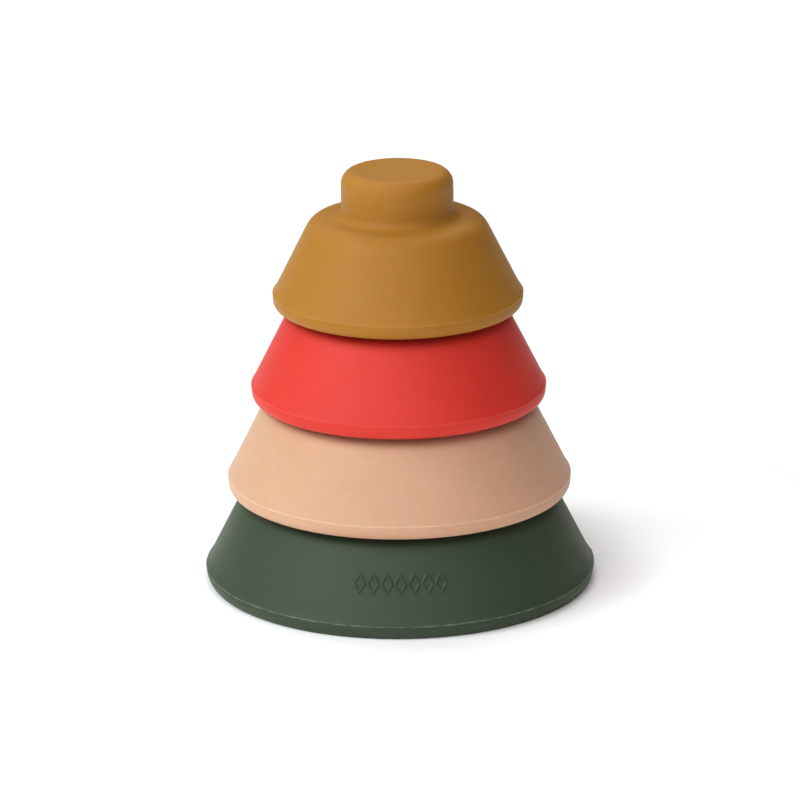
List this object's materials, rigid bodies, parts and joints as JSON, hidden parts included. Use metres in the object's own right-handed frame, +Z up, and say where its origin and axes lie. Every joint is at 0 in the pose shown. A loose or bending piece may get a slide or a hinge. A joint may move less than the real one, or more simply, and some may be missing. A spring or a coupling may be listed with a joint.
{
  "type": "stacking cup tower",
  "caption": "Tower of hollow cone-shaped silicone cups in falling sizes, upside down, each lifting straight off the knob of the one below.",
  "frame": {"origin": "on the tower's axis, in the plane that the base cup's rim rests on", "axes": "+Z up along the tower's axis, -Y towards the side that carries the small raised pattern, +X to the right when facing that side"},
  "size_m": [0.11, 0.11, 0.1188],
  "materials": {
    "green_silicone": "matt, soft-touch",
    "rose_silicone": "matt, soft-touch",
    "red_silicone": "matt, soft-touch",
    "mustard_silicone": "matt, soft-touch"
  },
  "bodies": {
    "base_cup": {"base_cup": "green_silicone"},
    "second_cup": {"second_cup": "rose_silicone"},
    "third_cup": {"third_cup": "red_silicone"},
    "top_cup": {"top_cup": "mustard_silicone"}
  },
  "joints": [
    {"name": "second_cup_lift", "type": "slide", "parent": "base_cup", "child": "second_cup", "axis": [0, 0, 1], "range_m": [0, 0.05]},
    {"name": "third_cup_lift", "type": "slide", "parent": "second_cup", "child": "third_cup", "axis": [0, 0, 1], "range_m": [0, 0.05]},
    {"name": "top_cup_lift", "type": "slide", "parent": "third_cup", "child": "top_cup", "axis": [0, 0, 1], "range_m": [0, 0.05]}
  ]
}
